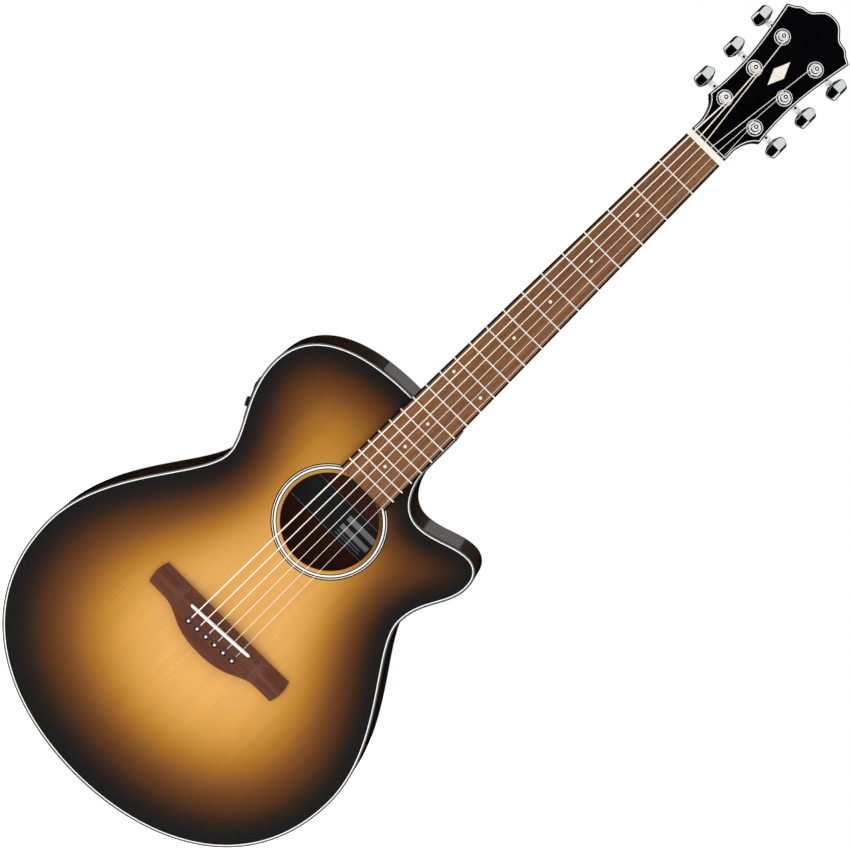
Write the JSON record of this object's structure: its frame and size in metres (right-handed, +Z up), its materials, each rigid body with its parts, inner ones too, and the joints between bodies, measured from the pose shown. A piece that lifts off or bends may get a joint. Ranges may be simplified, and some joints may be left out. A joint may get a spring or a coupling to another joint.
{
  "type": "acoustic guitar",
  "caption": "Thin single-cutaway acoustic guitar with a round soundhole, pin bridge, side preamp, end-pin jack and geared tuners.",
  "frame": {"origin": "on the neck's centre line at the nut line, in the plane of the soundboard's face, where a wall hanger's yoke carries the guitar under the flare of its headstock", "axes": "+Z up the neck towards the headstock, -Y out of the soundboard, +X towards the treble side and the cutaway"},
  "size_m": [0.3752, 0.092, 1.0133],
  "materials": {
    "burst_top": "gloss lacquer, honey centre fading to black at the edge",
    "rosette": "gloss, concentric black and white lines",
    "gloss_sides": "gloss lacquer over dark brown wood",
    "binding": "gloss black with a white line",
    "brace_wood": "bare, sanded",
    "label": "matt card with grey lines",
    "gloss_neck": "gloss lacquer over dark brown wood",
    "steel": "satin",
    "fingerboard_wood": "open grain, oiled satin",
    "bone": "polished bone white",
    "bridge_wood": "open grain, satin",
    "black_plastic": "fine moulded texture",
    "gloss_black": "gloss black lacquer",
    "pin_plastic": "gloss black with a pearl dot",
    "string_wire": "plain drawn wire",
    "wound_wire": "bronze winding",
    "chrome": "polished"
  },
  "bodies": {
    "guitar": {"soundboard": "burst_top", "rosette": "rosette", "side_rim": "gloss_sides", "back_plate": "gloss_sides", "front_binding": "binding", "back_binding": "binding", "front_lining": "brace_wood", "back_lining": "brace_wood", "neck_block": "brace_wood", "tail_block": "brace_wood", "x_brace": "brace_wood", "upper_brace": "brace_wood", "tone_bar": "brace_wood", "bridge_plate": "brace_wood", "back_brace_upper": "brace_wood", "back_brace_lower": "brace_wood", "label": "label", "neck": "gloss_neck", "truss_rod": "steel", "fingerboard": "fingerboard_wood", "nut": "bone", "saddle": "bone", "bridge": "bridge_wood", "saddle_pickup": "black_plastic", "preamp": "black_plastic", "headstock_veneer": "gloss_black", "bridge_pin_1": "pin_plastic", "string_1": "wound_wire", "tuner_housing_1": "chrome", "bridge_pin_2": "pin_plastic", "string_2": "wound_wire", "tuner_housing_2": "chrome", "bridge_pin_3": "pin_plastic", "string_3": "wound_wire", "tuner_housing_3": "chrome", "bridge_pin_4": "pin_plastic", "string_4": "wound_wire", "tuner_housing_4": "chrome", "bridge_pin_5": "pin_plastic", "string_5": "string_wire", "tuner_housing_5": "chrome", "bridge_pin_6": "pin_plastic", "string_6": "string_wire", "tuner_housing_6": "chrome", "output_jack": "chrome"},
    "key_1": {"tuner_key_1": "chrome"},
    "post_1": {"string_post_1": "chrome"},
    "key_2": {"tuner_key_2": "chrome"},
    "post_2": {"string_post_2": "chrome"},
    "key_3": {"tuner_key_3": "chrome"},
    "post_3": {"string_post_3": "chrome"},
    "key_4": {"tuner_key_4": "chrome"},
    "post_4": {"string_post_4": "chrome"},
    "key_5": {"tuner_key_5": "chrome"},
    "post_5": {"string_post_5": "chrome"},
    "key_6": {"tuner_key_6": "chrome"},
    "post_6": {"string_post_6": "chrome"},
    "volume_knob": {"volume_knob": "black_plastic"},
    "tone_knob": {"tone_knob": "black_plastic"},
    "tuner_button": {"tuner_button": "black_plastic"}
  },
  "joints": [
    {"name": "key_1_turn", "type": "hinge", "parent": "guitar", "child": "key_1", "pos_m": [-0.0193, 0.02879, 0.04499], "axis": [-1, 0, 0], "continuous": true},
    {"name": "post_1_turn", "type": "hinge", "parent": "guitar", "child": "post_1", "pos_m": [-0.0193, 0.00982, 0.04539], "axis": [0, -0.9703, 0.2419], "continuous": true},
    {"name": "key_2_turn", "type": "hinge", "parent": "guitar", "child": "key_2", "pos_m": [-0.0193, 0.03815, 0.08254], "axis": [-1, 0, 0], "continuous": true},
    {"name": "post_2_turn", "type": "hinge", "parent": "guitar", "child": "post_2", "pos_m": [-0.0193, 0.01918, 0.08294], "axis": [0, -0.9703, 0.2419], "continuous": true},
    {"name": "key_3_turn", "type": "hinge", "parent": "guitar", "child": "key_3", "pos_m": [-0.0213, 0.04754, 0.12019], "axis": [-1, 0, 0], "continuous": true},
    {"name": "post_3_turn", "type": "hinge", "parent": "guitar", "child": "post_3", "pos_m": [-0.0213, 0.02857, 0.12059], "axis": [0, -0.9703, 0.2419], "continuous": true},
    {"name": "key_4_turn", "type": "hinge", "parent": "guitar", "child": "key_4", "pos_m": [0.0213, 0.04754, 0.12019], "axis": [1, 0, 0], "continuous": true},
    {"name": "post_4_turn", "type": "hinge", "parent": "guitar", "child": "post_4", "pos_m": [0.0213, 0.02857, 0.12059], "axis": [0, -0.9703, 0.2419], "continuous": true},
    {"name": "key_5_turn", "type": "hinge", "parent": "guitar", "child": "key_5", "pos_m": [0.0193, 0.03815, 0.08254], "axis": [1, 0, 0], "continuous": true},
    {"name": "post_5_turn", "type": "hinge", "parent": "guitar", "child": "post_5", "pos_m": [0.0193, 0.01918, 0.08294], "axis": [0, -0.9703, 0.2419], "continuous": true},
    {"name": "key_6_turn", "type": "hinge", "parent": "guitar", "child": "key_6", "pos_m": [0.0193, 0.02879, 0.04499], "axis": [1, 0, 0], "continuous": true},
    {"name": "post_6_turn", "type": "hinge", "parent": "guitar", "child": "post_6", "pos_m": [0.0193, 0.00982, 0.04539], "axis": [0, -0.9703, 0.2419], "continuous": true},
    {"name": "volume_knob_turn", "type": "hinge", "parent": "guitar", "child": "volume_knob", "pos_m": [-0.12981, 0.029, -0.46895], "axis": [-0.9007, 0, -0.4344], "range_deg": [-140, 140]},
    {"name": "tone_knob_turn", "type": "hinge", "parent": "guitar", "child": "tone_knob", "pos_m": [-0.13638, 0.029, -0.45362], "axis": [-0.9399, 0, -0.3416], "range_deg": [-140, 140]},
    {"name": "tuner_button_press", "type": "slide", "parent": "guitar", "child": "tuner_button", "axis": [0.9178, 0, 0.3969], "range_m": [0, 0.001], "stiffness_N_per_m": 250}
  ],
  "couplings": [
    {"joint": "post_1_turn", "follows": "key_1_turn", "ratio": -0.071429},
    {"joint": "post_2_turn", "follows": "key_2_turn", "ratio": -0.071429},
    {"joint": "post_3_turn", "follows": "key_3_turn", "ratio": -0.071429},
    {"joint": "post_4_turn", "follows": "key_4_turn", "ratio": 0.071429},
    {"joint": "post_5_turn", "follows": "key_5_turn", "ratio": 0.071429},
    {"joint": "post_6_turn", "follows": "key_6_turn", "ratio": 0.071429}
  ]
}
